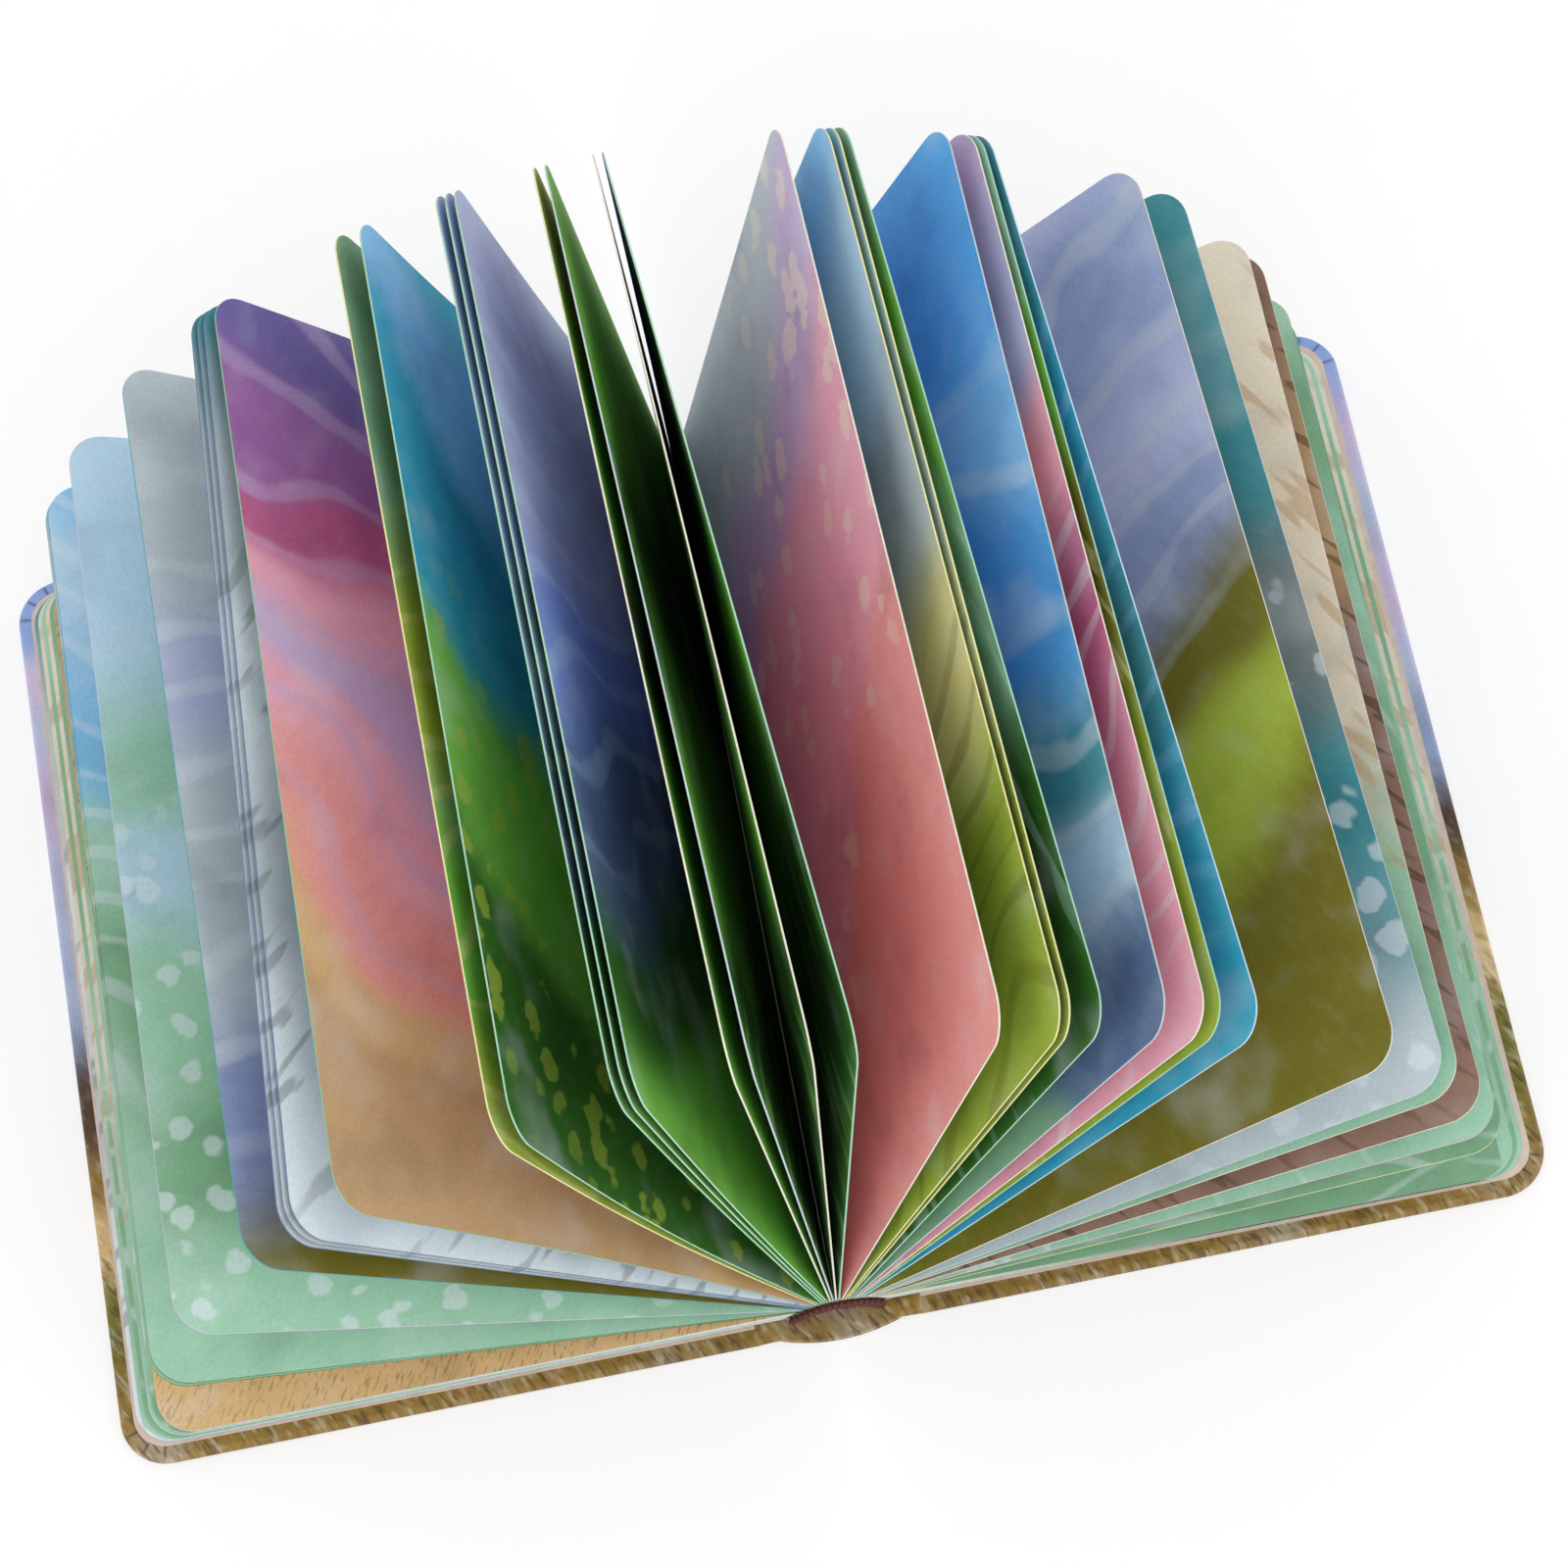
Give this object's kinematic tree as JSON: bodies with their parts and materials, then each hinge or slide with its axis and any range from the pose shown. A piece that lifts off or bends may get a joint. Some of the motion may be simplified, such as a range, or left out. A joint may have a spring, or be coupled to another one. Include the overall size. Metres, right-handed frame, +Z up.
{
  "type": "hardcover journal",
  "caption": "Hardcover journal lying open and flat, its colour-washed leaves standing in a fan; both covers hinge at the spine and close over the leaves.",
  "frame": {"origin": "on the table under the middle of the spine", "axes": "+X from the front cover to the back cover of the open book, +Y from tail to head, +Z up"},
  "size_m": [0.302, 0.2136, 0.1428],
  "materials": {
    "covering": "satin",
    "board": "matte",
    "endpaper": "matte",
    "leaves": "matte",
    "band": "matte",
    "lining": "matte"
  },
  "bodies": {
    "spine": {"spine_card": "board", "spine_covering": "covering", "spine_lining": "lining", "headband": "band", "tailband": "band", "pages": "leaves", "front_joint": "covering", "back_joint": "covering"},
    "front_cover": {"front_board": "board", "front_covering": "covering", "front_pastedown": "endpaper"},
    "back_cover": {"back_board": "board", "back_covering": "covering", "back_pastedown": "endpaper"}
  },
  "joints": [
    {"name": "front_cover_hinge", "type": "hinge", "parent": "spine", "child": "front_cover", "pos_m": [-0.011, 0, 0.0012], "axis": [0, 1, 0], "range_deg": [0, 90], "deforming": ["front_joint", "pages"]},
    {"name": "back_cover_hinge", "type": "hinge", "parent": "spine", "child": "back_cover", "pos_m": [0.011, 0, 0.0012], "axis": [0, -1, 0], "range_deg": [0, 90], "deforming": ["back_joint", "pages"]}
  ]
}
